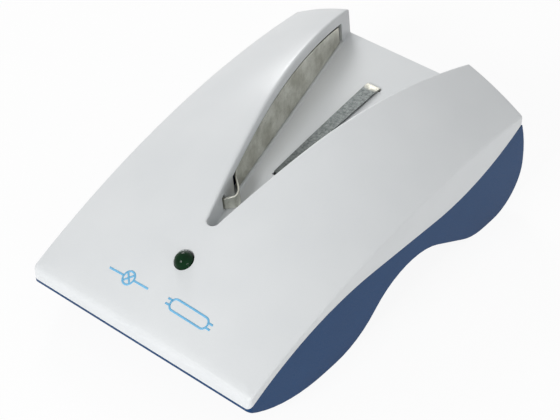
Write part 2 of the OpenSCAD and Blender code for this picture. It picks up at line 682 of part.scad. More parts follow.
leaf_set = 0.55;
end_r = 0.8;
end_reach = 3.6;
tail_reach = 4.4;
leaf_end_u = window_back_u - 0.5;
side_path = concat(
  [[-end_reach, leaf_end_u]],
  [for (i = [0:4]) let (turn = 22.5 * i)
    [-leaf_set - end_r + end_r * sin(turn), leaf_end_u - end_r + end_r * cos(turn)]],
  [for (i = [0:8]) let (f = i / 8)
    [-leaf_set + (bulge + leaf_set) * (1 - cos(180 * f)) / 2, bulge_u0 + (bulge_u1 - bulge_u0) * f]],
  [for (i = [1:6]) let (turn = -hook_turn * i / 6)
    [bulge - hook_r + hook_r * cos(turn), bulge_u1 + hook_r * sin(turn)]],
  [[0.1, tail_u], [-tail_reach, tail_u]]);
module side_contact() color([0.57, 0.56, 0.52]) placed() on_left_wall() intersection() {
  translate([0, 0, -20]) linear_extrude(40) polygon(ribbon(side_path, side_t));
  rotate([90, 0, 90]) translate([0, 0, -8]) linear_extrude(16)
    polygon(window(6, window_back_u, sill + leaf_gap, window_drop + leaf_gap_top));
}

strip_y1 = body_len - 17.6;
strip_y0 = strip_y1 - strip_len;
strip_lift = strip_travel + 0.25;
strip_bow = 0.2;
// the strip widens towards the back, as the channel does
function strip_half(y) = (strip_front_w + (strip_rear_w - strip_front_w) * (y - strip_y0) / strip_len) / 2;
strip_leg = 3.2;
leg_inset = 0.1;
strip_path = concat(
  [[strip_y0, floor_z(strip_y0) - strip_leg - 0.6]],
  [for (i = [0:14]) let (f = i / 14, y = strip_y0 + leg_inset + (strip_len - 2 * leg_inset) * f)
    [y, floor_z(y) + strip_lift + strip_bow * sin(180 * f)]],
  [[strip_y1, floor_z(strip_y1) - trough_floor + 0.6]]);
module centre_contact() color([0.55, 0.57, 0.55]) placed() intersection() {
  across(strip_rear_w, ribbon(strip_path, strip_t));
  linear_extrude(60) polygon([for (p = [[1, strip_y0 - 1], [1, strip_y1 + 1], [-1, strip_y1 + 1],
    [-1, strip_y0 - 1]]) [p[0] * strip_half(p[1]), p[1]]]);
}

// ---- wires ----
wire_d = 1.2;
// smooth curve through the points of a route
function spline(p, n) = concat(
  [for (i = [0:len(p) - 2]) for (k = [0:n - 1]) let (t = k / n, a = p[max(i - 1, 0)], b = p[i], c = p[i + 1],
    e = p[min(i + 2, len(p) - 1)])
    (2 * b + (c - a) * t + (2 * a - 5 * b + 4 * c - e) * t * t + (3 * b - a - 3 * c + e) * t * t * t) / 2],
  [p[len(p) - 1]]);
module wire(route) {
  sides = 8;
  path = spline(route, 3);
  n = len(path);
  rings = [for (i = [0:n - 1]) let (d = unit(path[min(i + 1, n - 1)] - path[max(i - 1, 0)]),
    u = unit(cross(d, abs(d[0]) < 0.8 ? [1, 0, 0] : [0, 1, 0])), v = cross(d, u))
    for (k = [0:sides - 1]) path[i] + wire_d / 2 * (u * cos(360 * k / sides) + v * sin(360 * k / sides))];
  polyhedron(points = rings, faces = concat(
    [[for (k = [0:sides - 1]) k]],
    [[for (k = [sides - 1:-1:0]) (n - 1) * sides + k]],
    [for (i = [0:n - 2]) for (k = [0:sides - 1]) let (a = i * sides + k, b = i * sides + (k + 1) % sides)
      each [[a, a + sides, b], [b, a + sides, b + sides]]]));
}
wire_run_x = half_w(bay_y0) - 6;
lead_start_x = carrier_x0 + 0.7;
lead_z = bay_top - 1.1;
// a wire ends just above the board, over its hole
function wire_end(i) = [wire_holes[i][0], wire_holes[i][1], board_top + 0.1];
function above_hole(i, rise) = [wire_holes[i][0], wire_holes[i][1], board_top + rise];
module positive_lead() color([0.7, 0.08, 0.06]) placed() wire([
  [lead_start_x, terminal_ys[0] - 1.5, lead_z], [lead_start_x + 1, terminal_ys[0] - 2.6, lead_z],
  [bay_x + 2, bay_y0 + 3.7, lead_z - 0.4], [wire_run_x, bay_y0 - 0.9, 21.6],
  [wire_run_x, bay_y0 - 25, 20.4], [front_boss[0] + 0.6, board_y1 + 7, 19.4],
  [board_x + 4, board_y1 - 0.6, 18.6], above_hole(0, 2), wire_end(0)]);
module negative_lead() color([0.06, 0.06, 0.07]) placed() wire([
  [lead_start_x, terminal_ys[1] - 1.5, lead_z - 0.1], [lead_start_x, terminal_ys[1] - 6, lead_z + 0.2],
  [lead_start_x - 1.8, terminal_ys[0] + 3, lead_z + 0.3],
  [lead_start_x - 1.8, terminal_ys[0] - 2.6, lead_z + 0.3], [bay_x + 2.2, bay_y0 + 2.4, lead_z],
  [wire_run_x - 0.4, bay_y0 - 3, 23.2], [wire_run_x - 0.2, bay_y0 - 25, 22.4],
  [front_boss[0] - 0.2, board_y1 + 5.6, 21.4], [board_x + 3, board_y1 + 1.4, 19.4],
  above_hole(1, 2.6), wire_end(1)]);
// a point of the wall frame in the body's own frame
function wall_point(x, u, z) = let (flat = x * cos(wall_lean) - z * sin(wall_lean))
  [-wall_foot_x + flat * cos(channel_half_angle) - u * sin(channel_half_angle),
    nose_y + flat * sin(channel_half_angle) + u * cos(channel_half_angle),
    draft_ref_z + x * sin(wall_lean) + z * cos(wall_lean)];
// the wire starts beside the contact's tail, clear of it when the contact is pressed
wire_seat = wire_d / 2 + 0.2;
tail_mid_z = (floor_z(y_of(tail_u)) + rim_z(y_of(tail_u)) - window_drop) / 2 - draft_ref_z;
tail_place = wall_point(wire_seat - tail_reach, tail_u + side_t / 2 + wire_seat, tail_mid_z);
module side_contact_wire() color([0.85, 0.75, 0.15]) placed() wire([
  tail_place, tail_place + [-0.3, 0, -2.6], (tail_place + above_hole(2, 2)) / 2 + [-0.6, 0.4, -1],
  above_hole(2, 2), wire_end(2)]);
module centre_contact_wire() color([0.15, 0.35, 0.7]) placed() wire([
  [0, strip_y0 - wire_seat, floor_z(strip_y0) - strip_leg - 0.2],
  [0.6, strip_y0 - 5.6, 21.4],
  [1.2, board_y1 + 3, 19.6], above_hole(3, 2.4) + [0, 0.6, 0], above_hole(3, 1.6), wire_end(3)]);

upper_shell();
lower_shell();
battery_door();
door_pad();
battery_case();
battery_end_cap();
battery_terminals();
contact_carrier();
positive_leaf();
negative_leaf();
circuit_board();
board_screws();
solder_joints();
led_lens();
led_leads();
resistors();
resistor_leads();
transistors();
transistor_legs();
capacitor();
side_contact();
centre_contact();
housing_screws();
positive_lead();
negative_lead();
side_contact_wire();
centre_contact_wire();
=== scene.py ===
import math

import bmesh
import bpy
from mathutils import Matrix, Vector


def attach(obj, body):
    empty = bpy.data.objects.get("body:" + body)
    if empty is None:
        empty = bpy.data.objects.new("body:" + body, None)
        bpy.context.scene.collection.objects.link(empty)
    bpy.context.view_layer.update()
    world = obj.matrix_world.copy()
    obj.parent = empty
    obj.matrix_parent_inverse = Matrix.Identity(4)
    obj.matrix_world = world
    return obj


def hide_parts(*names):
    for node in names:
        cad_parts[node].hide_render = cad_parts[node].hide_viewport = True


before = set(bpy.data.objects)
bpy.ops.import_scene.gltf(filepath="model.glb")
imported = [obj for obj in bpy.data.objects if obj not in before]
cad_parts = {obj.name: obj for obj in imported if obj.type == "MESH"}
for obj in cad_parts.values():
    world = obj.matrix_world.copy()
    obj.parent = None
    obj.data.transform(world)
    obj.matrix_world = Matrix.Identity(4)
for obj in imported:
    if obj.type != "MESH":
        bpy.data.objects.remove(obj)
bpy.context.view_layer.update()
print("frame loaded")

scene = bpy.context.scene
scene.view_settings.view_transform = "Standard"


# camera
viewSetup = {
    "place": (0.192906, -0.239394, 0.294339),  # metres
    "turn": 39.01,       # degrees from +Y towards -X
    "tilt": 42.4,        # degrees below the horizon
    "roll": -0.31,
    "lens": 102.07,
    "sensor": 36,
    "clip": (0.01, 50),
}


def makeCamera(setup):
    turn = math.radians(setup["turn"])
    tilt = math.radians(setup["tilt"])
    roll = math.radians(setup["roll"])
    right = Vector((math.cos(turn), math.sin(turn), 0))
    ahead = Vector((-math.sin(turn) * math.cos(tilt), math.cos(turn) * math.cos(tilt), -math.sin(tilt)))
    up = right.cross(ahead)
    rolledRight = right * math.cos(roll) + up * math.sin(roll)
    rolledUp = up * math.cos(roll) - right * math.sin(roll)
    data = bpy.data.cameras.new("camera")
    data.lens = setup["lens"]
    data.sensor_width = setup["sensor"]
    data.clip_start, data.clip_end = setup["clip"]
    camera = bpy.data.objects.new("camera", data)
    scene.collection.objects.link(camera)
    axes = Matrix((rolledRight, rolledUp, -ahead)).transposed().to_4x4()
    camera.matrix_world = Matrix.Translation(setup["place"]) @ axes
    scene.camera = camera


makeCamera(viewSetup)
print("camera set")


# shapes shared by the pieces: millimetres, y counted from the front edge
body = {
    "length": 113.4,
    "rearY": 110.706,
    "frontHalf": 35.5,
    "rearHalf": 38.0,
    "frontZ": 14.3,
    "crownZ": 45.4,
    "crownY": 87.0,
    "crownR": 98.0,
    "frontBow": 0.6,     # the front edge is this much higher in the middle
    "frontArcEnd": 56.0,
    "creaseZ": 31.3,
    "creaseY": 88.0,
    "edgeR": 0.5,        # the solid's is 0.8
    "frontR": 1.5,
    "cornerR": 1.3,
    "wall": 2.0,
}
channel = {
    "halfAngle": 12.0,
    "noseR": 2.1,
    "noseY": 29.6,
    "draft": 0.1,
    "draftZ": 34.0,
    "floorZ": 31.5,
    "floorSlope": 4.6,
}
seam = {
    "frontZ": 10.8,
    "peakY": 41.0,
    "peakZ": 21.1,
    "dipY": 77.0,
    "dipZ": 19.1,
    "dipR": 70.0,
    "slope": -0.064,     # of the straight run between the two arcs
}

toPart = Matrix.Scale(0.001, 4) @ Matrix.Translation((0, -body["length"] / 2, 0))

crownCentre = Vector((body["crownY"], body["crownZ"] - body["crownR"]))
joinRun = body["crownY"] - body["frontArcEnd"]
joinDir = Vector((joinRun, -math.sqrt(body["crownR"] ** 2 - joinRun ** 2))) / body["crownR"]
joinPoint = crownCentre - body["crownR"] * joinDir
frontRun = joinPoint - Vector((0, body["frontZ"] + body["frontBow"]))
frontArcR = -frontRun.length_squared / (2 * frontRun.dot(joinDir))
frontCentre = joinPoint + frontArcR * joinDir
creaseRise = body["creaseZ"] - body["frontZ"]
creaseR = (body["creaseY"] ** 2 + creaseRise ** 2) / (2 * creaseRise)
seamRise = seam["peakZ"] - seam["frontZ"]
seamR = (seam["peakY"] ** 2 + seamRise ** 2) / (2 * seamRise)
noseLean = math.radians(channel["halfAngle"])
noseCos = math.cos(noseLean)


def halfWidth(y):
    return body["frontHalf"] + (body["rearHalf"] - body["frontHalf"]) * y / body["rearY"]


def crownLine(y):
    if y < body["frontArcEnd"]:
        return frontCentre.y + math.sqrt(frontArcR ** 2 - (y - frontCentre.x) ** 2)
    return crownCentre.y + math.sqrt(body["crownR"] ** 2 - (y - crownCentre.x) ** 2)


def creaseLine(y):
    return body["creaseZ"] - creaseR + math.sqrt(creaseR ** 2 - (y - body["creaseY"]) ** 2)


def roundOff(inset, radius):
    if inset >= radius:
        return 0.0
    return radius - math.sqrt(radius ** 2 - (radius - max(inset, 0.0)) ** 2)


def planHalf(y):
    return halfWidth(y) - roundOff(y, body["cornerR"])


def smoothZ(x, y):
    x = min(abs(x), halfWidth(y))
    return creaseLine(y) + (crownLine(y) - creaseLine(y)) * (1 - (x / halfWidth(y)) ** 2)


def skinZ(x, y):
    return smoothZ(x, y) - roundOff(planHalf(y) - abs(x), body["edgeR"]) - roundOff(y, body["frontR"])


def seamZ(y):
    y = min(y, body["rearY"])

    def rise(v):
        return seam["peakZ"] - seamR + math.sqrt(seamR ** 2 - (v - seam["peakY"]) ** 2)

    def dip(v):
        return seam["dipZ"] + seam["dipR"] - math.sqrt(seam["dipR"] ** 2 - (v - seam["dipY"]) ** 2)

    first = seam["peakY"] - seam["slope"] * seamR
    last = seam["dipY"] + seam["slope"] * seam["dipR"]
    if y < first:
        return rise(y)
    if y > last:
        return dip(y)
    return rise(first) + (dip(last) - rise(first)) * (y - first) / (last - first)


def floorZ(y):
    return channel["floorZ"] - (body["rearY"] - y) * math.tan(math.radians(channel["floorSlope"]))


def channelHalf(y, z):
    grow = (z - channel["draftZ"]) * channel["draft"]
    return (channel["noseR"] + grow) / noseCos + (y - channel["noseY"]) * math.tan(noseLean)


# helpers
def finishPiece(bm, name, material, rider="housing", sharp=40.0, place=toPart):
    bmesh.ops.transform(bm, matrix=place, verts=bm.verts)
    mesh = bpy.data.meshes.new(name)
    bm.to_mesh(mesh)
    bm.free()
    mesh.shade_smooth()
    mesh.set_sharp_from_angle(angle=math.radians(sharp))
    piece = bpy.data.objects.new(name, mesh)
    scene.collection.objects.link(piece)
    piece.data.materials.append(material)
    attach(piece, rider)
    return piece


def addBevel(piece, width, angle):
    bevel = piece.modifiers.new("edges", "BEVEL")
    bevel.width = width
    bevel.segments = 2
    bevel.limit_method = "ANGLE"
    bevel.angle_limit = math.radians(angle)
    bevel.harden_normals = True


solidMerge = {"gap": 2e-6, "flatAngle": 0.6}   # metres and degrees


def dressNode(node, name, material, width, rider, angle):
    # a merged copy of the solid, with its edges eased by width
    bm = bmesh.new()
    bm.from_mesh(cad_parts[node].data)
    bmesh.ops.remove_doubles(bm, verts=bm.verts, dist=solidMerge["gap"])
    bmesh.ops.dissolve_limit(bm, angle_limit=math.radians(solidMerge["flatAngle"]), verts=bm.verts,
                             edges=bm.edges)
    piece = finishPiece(bm, name, material, rider, sharp=angle, place=Matrix.Identity(4))
    if width > 0:
        addBevel(piece, width, angle)
    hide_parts(node)


def paintNode(node, material):
    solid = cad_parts[node]
    solid.data.materials.clear()
    solid.data.materials.append(material)


def newMaterial(name):
    material = bpy.data.materials.new(name)
    material.use_nodes = True
    tree = material.node_tree
    tree.nodes.clear()
    output = tree.nodes.new("ShaderNodeOutputMaterial")
    shader = tree.nodes.new("ShaderNodeBsdfPrincipled")
    tree.links.new(shader.outputs["BSDF"], output.inputs["Surface"])
    coords = tree.nodes.new("ShaderNodeTexCoord")
    return material, tree, shader, coords.outputs["Object"]


def noiseOf(tree, coords, scale, detail=3.0, stretch=(1, 1, 1), turn=(0, 0, 0), rough=0.55):
    mapping = tree.nodes.new("ShaderNodeMapping")
    mapping.inputs["Scale"].default_value = stretch
    mapping.inputs["Rotation"].default_value = turn
    tree.links.new(coords, mapping.inputs["Vector"])
    noise = tree.nodes.new("ShaderNodeTexNoise")
    noise.inputs["Scale"].default_value = scale
    noise.inputs["Detail"].default_value = detail
    noise.inputs["Roughness"].default_value = rough
    tree.links.new(mapping.outputs["Vector"], noise.inputs["Vector"])
    return noise.outputs["Fac"]


def rampOf(tree, value, stops):
    ramp = tree.nodes.new("ShaderNodeValToRGB")
    while len(ramp.color_ramp.elements) < len(stops):
        ramp.color_ramp.elements.new(0.5)
    for element, (place, colour) in zip(ramp.color_ramp.elements, stops):
        element.position = place
        element.color = (*colour, 1)
    tree.links.new(value, ramp.inputs["Fac"])
    return ramp.outputs["Color"]


def spreadOf(tree, value, low, high, fromLow=0.3, fromHigh=0.7):
    spread = tree.nodes.new("ShaderNodeMapRange")
    spread.inputs["From Min"].default_value = fromLow
    spread.inputs["From Max"].default_value = fromHigh
    spread.inputs["To Min"].default_value = low
    spread.inputs["To Max"].default_value = high
    tree.links.new(value, spread.inputs["Value"])
    return spread.outputs["Result"]


def mixOf(tree, factor, first, second):
    mix = tree.nodes.new("ShaderNodeMix")
    mix.data_type = "RGBA"
    for socket, value in ((mix.inputs[0], factor), (mix.inputs[6], first), (mix.inputs[7], second)):
        if hasattr(value, "is_linked"):
            tree.links.new(value, socket)
        elif isinstance(value, tuple):
            socket.default_value = (*value, 1)
        else:
            socket.default_value = value
    return mix.outputs[2]


def bumpOf(tree, shader, height, strength, distance):
    bump = tree.nodes.new("ShaderNodeBump")
    bump.inputs["Strength"].default_value = strength
    bump.inputs["Distance"].default_value = distance
    tree.links.new(height, bump.inputs["Height"])
    tree.links.new(bump.outputs["Normal"], shader.inputs["Normal"])


# finishes: scales are per metre, depths in metres
pearlLook = {
    "pale": (0.735, 0.755, 0.765),
    "deep": (0.7, 0.722, 0.735),
    "glint": (0.9, 0.92, 0.94),
    "glintShare": 0.08,
    "cloud": 45.0,
    "fleck": 5200.0,
    "roughness": (0.33, 0.42),
    "coat": 0.12,
    "coatRoughness": 0.3,
    "pits": 2600.0,
    "pitStrength": 0.05,
    "pitDepth": 0.00003,
}


def pearlPlastic():
    look = pearlLook
    material, tree, shader, coords = newMaterial("pearlPlastic")
    cloud = noiseOf(tree, coords, look["cloud"], 2.0)
    fleck = noiseOf(tree, coords, look["fleck"], 1.0)
    tone = rampOf(tree, cloud, [(0.3, look["deep"]), (0.7, look["pale"])])
    glint = spreadOf(tree, fleck, 0.0, look["glintShare"], 0.45, 0.8)
    tree.links.new(mixOf(tree, glint, tone, look["glint"]), shader.inputs["Base Color"])
    tree.links.new(spreadOf(tree, fleck, *look["roughness"]), shader.inputs["Roughness"])
    shader.inputs["Coat Weight"].default_value = look["coat"]
    shader.inputs["Coat Roughness"].default_value = look["coatRoughness"]
    pits = noiseOf(tree, coords, look["pits"], 2.0)
    bumpOf(tree, shader, pits, look["pitStrength"], look["pitDepth"])
    return material


blueLook = {
    "plain": (0.004, 0.043, 0.134),
    "worn": (0.006, 0.05, 0.149),
    "cloud": 60.0,
    "grain": 4200.0,
    "roughness": (0.4, 0.52),
    "specular": 0.16,
    "grainStrength": 0.12,
    "grainDepth": 0.00004,
}


def bluePlastic():
    look = blueLook
    material, tree, shader, coords = newMaterial("bluePlastic")
    cloud = noiseOf(tree, coords, look["cloud"], 3.0)
    grain = noiseOf(tree, coords, look["grain"], 2.0)
    tone = rampOf(tree, cloud, [(0.3, look["plain"]), (0.75, look["worn"])])
    tree.links.new(tone, shader.inputs["Base Color"])
    tree.links.new(spreadOf(tree, grain, *look["roughness"]), shader.inputs["Roughness"])
    shader.inputs["Specular IOR Level"].default_value = look["specular"]
    bumpOf(tree, shader, grain, look["grainStrength"], look["grainDepth"])
    return material


steelLook = {
    "grain": 900.0,
    "grainStretch": (6, 0.25, 6),
    "grainStrength": 0.15,
    "grainDepth": 0.00003,
    "speck": 1500.0,
    "speckShare": 0.45,
    "stainAndHighlightShare": (0.6, 1.8),
    "roughness": (0.26, 0.42),
}
steels = {
    "plateSteel": {
        "tone": (0.68, 0.68, 0.61),
        "dark": (0.43, 0.425, 0.36),
        "smudge": 160.0,
        # the plate's round spot is a dark green stain
        "stainAndHighlight": (0.07, 0.1, 0.06),
        "stainAndHighlightPlace": (-0.011, -0.004, 0.0325),
        "stainAndHighlightReach": (0.002, 0.005, 0.0022),
        "grainTurn": 12,     # degrees
    },
    "stripTin": {
        "tone": (0.185, 0.2, 0.197),
        "dark": (0.085, 0.095, 0.092),
        "smudge": 1300.0,
        # the strip's round spot is a painted highlight: pale tin laid where the strip bends down into its
        # back slot
        "stainAndHighlight": (0.7, 0.68, 0.59),
        "stainAndHighlightPlace": (0.0, 0.0386, 0.0309),
        "stainAndHighlightReach": (0.0034, 0.002, 0.002),
        "grainTurn": 0,
    },
}


def rolledSteel(name):
    # grained metal with smudges, specks and one round spot: a real stain on the side plate, a painted
    # highlight on the floor strip's back bend
    own = steels[name]
    look = steelLook
    material, tree, shader, coords = newMaterial(name)
    grain = noiseOf(tree, coords, look["grain"], 4.0, stretch=look["grainStretch"],
                    turn=(0, 0, math.radians(own["grainTurn"])))
    smudge = noiseOf(tree, coords, own["smudge"], 4.0, rough=0.65)
    speck = noiseOf(tree, coords, look["speck"], 3.0, rough=0.7)
    plain = rampOf(tree, smudge, [(0.36, own["dark"]), (0.62, own["tone"])])
    specked = mixOf(tree, spreadOf(tree, speck, 0.0, look["speckShare"], 0.56, 0.75), plain, own["dark"])
    # the round spot: a stain on the plate, a painted highlight on the strip
    mapping = tree.nodes.new("ShaderNodeMapping")
    mapping.vector_type = "TEXTURE"
    mapping.inputs["Location"].default_value = own["stainAndHighlightPlace"]
    mapping.inputs["Scale"].default_value = own["stainAndHighlightReach"]
    tree.links.new(coords, mapping.inputs["Vector"])
    blob = tree.nodes.new("ShaderNodeTexGradient")
    blob.gradient_type = "SPHERICAL"
    tree.links.new(mapping.outputs["Vector"], blob.inputs["Vector"])
    product = tree.nodes.new("ShaderNodeMath")
    product.operation = "MULTIPLY"
    tree.links.new(blob.outputs["Fac"], product.inputs[0])
    tree.links.new(spreadOf(tree, smudge, *look["stainAndHighlightShare"]), product.inputs[1])
    tree.links.new(mixOf(tree, product.outputs[0], specked, own["stainAndHighlight"]), shader.inputs["Base Color"])
    tree.links.new(spreadOf(tree, grain, *look["roughness"]), shader.inputs["Roughness"])
    shader.inputs["Metallic"].default_value = 1.0
    bumpOf(tree, shader, grain, look["grainStrength"], look["grainDepth"])
    return material


metalLook = {
    "haze": 700.0,
    "hazeTone": 0.8,         # of the tone, in the dark patches
    "roughnessRise": 0.15,
    "pits": 3000.0,
    "pitStrength": 0.08,
    "pitDepth": 0.00003,
}


def platedMetal(name, tone, rough):
    look = metalLook
    material, tree, shader, coords = newMaterial(name)
    haze = noiseOf(tree, coords, look["haze"], 3.0)
    hazy = tuple(look["hazeTone"] * v for v in tone)
    tree.links.new(rampOf(tree, haze, [(0.3, hazy), (0.7, tone)]), shader.inputs["Base Color"])
    tree.links.new(spreadOf(tree, haze, rough, rough + look["roughnessRise"]), shader.inputs["Roughness"])
    shader.inputs["Metallic"].default_value = 1.0
    pits = noiseOf(tree, coords, look["pits"], 2.0)
    bumpOf(tree, shader, pits, look["pitStrength"], look["pitDepth"])
    return material


plasticLook = {
    "cloud": 300.0,
    "cloudTone": 0.86,
    "roughnessSwing": 0.06,
    "grain": 2400.0,
    "grainStrength": 0.08,
    "grainDepth": 0.00004,
}


def mouldedPlastic(name, tone, rough, grainScale=plasticLook["grain"],
                   strength=plasticLook["grainStrength"]):
    look = plasticLook
    material, tree, shader, coords = newMaterial(name)
    cloud = noiseOf(tree, coords, look["cloud"], 3.0)
    grain = noiseOf(tree, coords, grainScale, 2.0)
    cloudy = tuple(look["cloudTone"] * v for v in tone)
    tree.links.new(rampOf(tree, cloud, [(0.3, cloudy), (0.7, tone)]), shader.inputs["Base Color"])
    swing = look["roughnessSwing"]
    tree.links.new(spreadOf(tree, grain, rough - swing, rough + swing), shader.inputs["Roughness"])
    bumpOf(tree, shader, grain, strength, look["grainDepth"])
    return material


lensLook = {
    "deep": (0.0005, 0.017, 0.004),
    "pale": (0.001, 0.028, 0.007),
    "cloud": 500.0,
    "roughness": 0.05,
    "ior": 1.4,
    "specular": 0.16,
}


def lensResin():
    look = lensLook
    material, tree, shader, coords = newMaterial("lensResin")
    cloud = noiseOf(tree, coords, look["cloud"], 2.0)
    tone = rampOf(tree, cloud, [(0.3, look["deep"]), (0.7, look["pale"])])
    tree.links.new(tone, shader.inputs["Base Color"])
    shader.inputs["Roughness"].default_value = look["roughness"]
    shader.inputs["IOR"].default_value = look["ior"]
    shader.inputs["Specular IOR Level"].default_value = look["specular"]
    return material


pearl = pearlPlastic()
blue = bluePlastic()
plateSteel = rolledSteel("plateSteel")
stripTin = rolledSteel("stripTin")
lens = lensResin()
# name, tone and roughness, then the scale and strength of the grain where they differ
nickel = platedMetal("nickel", (0.66, 0.65, 0.61), 0.22)
zinc = platedMetal("zinc", (0.58, 0.59, 0.61), 0.3)
tinned = platedMetal("tinned", (0.62, 0.62, 0.64), 0.35)
foam = mouldedPlastic("foam", (0.03, 0.03, 0.032), 0.9, 900.0, 0.6)
jacket = mouldedPlastic("jacket", (0.05, 0.055, 0.062), 0.35)
capPlastic = mouldedPlastic("capPlastic", (0.012, 0.012, 0.013), 0.5)
fibreBoard = mouldedPlastic("fibreBoard", (0.016, 0.015, 0.014), 0.7, 1500.0, 0.3)
boardPaper = mouldedPlastic("boardPaper", (0.36, 0.2, 0.08), 0.5, 1800.0, 0.15)
lacquer = mouldedPlastic("lacquer", (0.5, 0.38, 0.22), 0.35)
blackEpoxy = mouldedPlastic("blackEpoxy", (0.01, 0.01, 0.011), 0.55)
discGlaze = mouldedPlastic("discGlaze", (0.55, 0.24, 0.05), 0.3)
redSleeve = mouldedPlastic("redSleeve", (0.45, 0.012, 0.008), 0.4)
blackSleeve = mouldedPlastic("blackSleeve", (0.01, 0.01, 0.011), 0.4)
yellowSleeve = mouldedPlastic("yellowSleeve", (0.65, 0.5, 0.03), 0.4)
blueSleeve = mouldedPlastic("blueSleeve", (0.02, 0.09, 0.42), 0.4)
printInk = mouldedPlastic("printInk", (0.17, 0.5, 0.78), 0.45, 3000.0, 0.05)
print("finishes made")


# upper shell
upper = {
    "troughWall": 1.8,
    "floorDepth": 2.0,
    "roofDepth": 2.24,
    "rimRound": 0.7,
    "rimRoundSteps": 4,
    "footRound": 0.3,
    "footRoundSteps": 3,
    "edgeEase": 0.16,
    "easeAngle": 55,
    "sharpAngle": 35,
    "sill": 0.5,           # wall left standing under the two openings
    "windowDrop": 2.9,     # from the rim down to their top
    "windowY": (42.51, 105.8),
    "slotY": (36.49, 37.85),
    "seamGap": 0.12,
    "innerRound": 0.2,
    "edgeShoulder": 0.6,   # from the edge round to the last row of the top
    "leastCorner": 0.6,
    "fanStart": 32.0,      # y at the side where the rows begin to fan round the nose
    "holeR": 2.6,
    "holeY": 18.2,
    "holeSteps": 64,
    "stripSlots": ((54.8, 3.3), (95.8, 4.7)),  # y and width of each
    "stripSlotLength": 1.15,
    "edgeBand": 0.3,       # how near the top a rim edge lies
    "rimGuessZ": 38.0,     # where the search for the rim starts
    "rimTries": 8,
    "holeMiddleZ": 25,
    "holeLength": 20,
    "slotDepth": 8,
    "slotSink": 1,         # of its middle under the channel floor
}
shellGrid = {
    "straight": (3, 26, 2, 1, 6),   # rows of the straight wall, from the back to the nose
    "noseHalf": 24,      # rows round half of the nose
    "fanSide": 9,        # of which this many end on the side
    "fanCorner": 6,      # and this many on the corner
    "wall": 6,
    "top": 14,
    "band": 5,
    "floor": 8,
}
bendLimit = 0.6          # radians, the least bend of an edge that is rounded
hair = 0.001             # mm, points about this close are one


def channelRows():
    # y of each row along the straight wall, from the back to the nose
    tangent = channel["noseY"] - channel["noseR"] * math.sin(noseLean)
    stops = (*reversed(upper["windowY"]), *reversed(upper["slotY"]), tangent)
    start = body["rearY"]
    rows = [start]
    for end, count in zip(stops, shellGrid["straight"]):
        rows += [start + (end - start) * (i + 1) / count for i in range(count)]
        start = end
    return rows


rowY = channelRows()
straightCount = len(rowY) - 1
rowCount = 2 * (straightCount + shellGrid["noseHalf"])


def wallPoint(row, z, deep):
    # place on the channel wall at height z; rows run from the left back round the nose
    side = -1 if row <= rowCount / 2 else 1
    k = min(row, rowCount - row)
    radius = channel["noseR"] + (z - channel["draftZ"]) * channel["draft"] + deep * upper["troughWall"]
    if k <= straightCount:
        y = rowY[k] if rowY[k] < body["rearY"] - 10 * hair else rowY[k] - deep * body["wall"]
        first = upper["slotY"][0]
        if y < first:
            tangent = channel["noseY"] - radius * math.sin(noseLean)
            y = first + (tangent - first) * (first - y) / (first - rowY[-1])
        return side * (channelHalf(y, z) + deep * upper["troughWall"] / noseCos), y
    turn = noseLean + (math.pi / 2 - noseLean) * (k - straightCount) / shellGrid["noseHalf"]
    return side * radius * math.cos(turn), channel["noseY"] - radius * math.sin(turn)


def outlinePoint(row, inset, deep):
    # place on the plan outline moved in by inset, opposite the same row of the channel
    side = -1 if row <= rowCount / 2 else 1
    k = min(row, rowCount - row)
    radius = max(body["cornerR"] - inset, upper["leastCorner"])
    fanStart = upper["fanStart"]
    sideCount = shellGrid["fanSide"]
    cornerCount = shellGrid["fanCorner"]
    if k <= straightCount:
        share = (body["rearY"] - rowY[k]) / (body["rearY"] - rowY[-1])
        y = body["rearY"] + (fanStart - body["rearY"]) * share
        if k == 0:
            y -= deep * body["wall"]
        return side * (halfWidth(y) - inset), y
    k -= straightCount
    cornerX = halfWidth(0) - inset - radius
    cornerY = inset + radius
    if k <= sideCount:
        y = fanStart + (cornerY - fanStart) * k / sideCount
        return side * (halfWidth(y * (fanStart - cornerY) / fanStart) - inset), y
    k -= sideCount
    if k <= cornerCount:
        turn = math.pi / 2 * k / cornerCount
        return side * (cornerX + radius * math.cos(turn)), cornerY - radius * math.sin(turn)
    k -= cornerCount
    return side * cornerX * (1 - k / (shellGrid["noseHalf"] - sideCount - cornerCount)), inset


def roofZ(x, y, deep):
    return skinZ(x, y) if not deep else smoothZ(x, y) - upper["roofDepth"]


def rimPoint(row, deep):
    # where the wall meets the top, found by stepping between the two
    z = upper["rimGuessZ"]
    for _ in range(upper["rimTries"]):
        x, y = wallPoint(row, z, deep)
        z = roofZ(x, y, deep)
    return x, y, z


wallSteps = shellGrid["wall"]
topSteps = shellGrid["top"]
bandSteps = shellGrid["band"]
edgeTurns = [15 * i for i in range(7)]   # degrees round the edge, from the top to the side


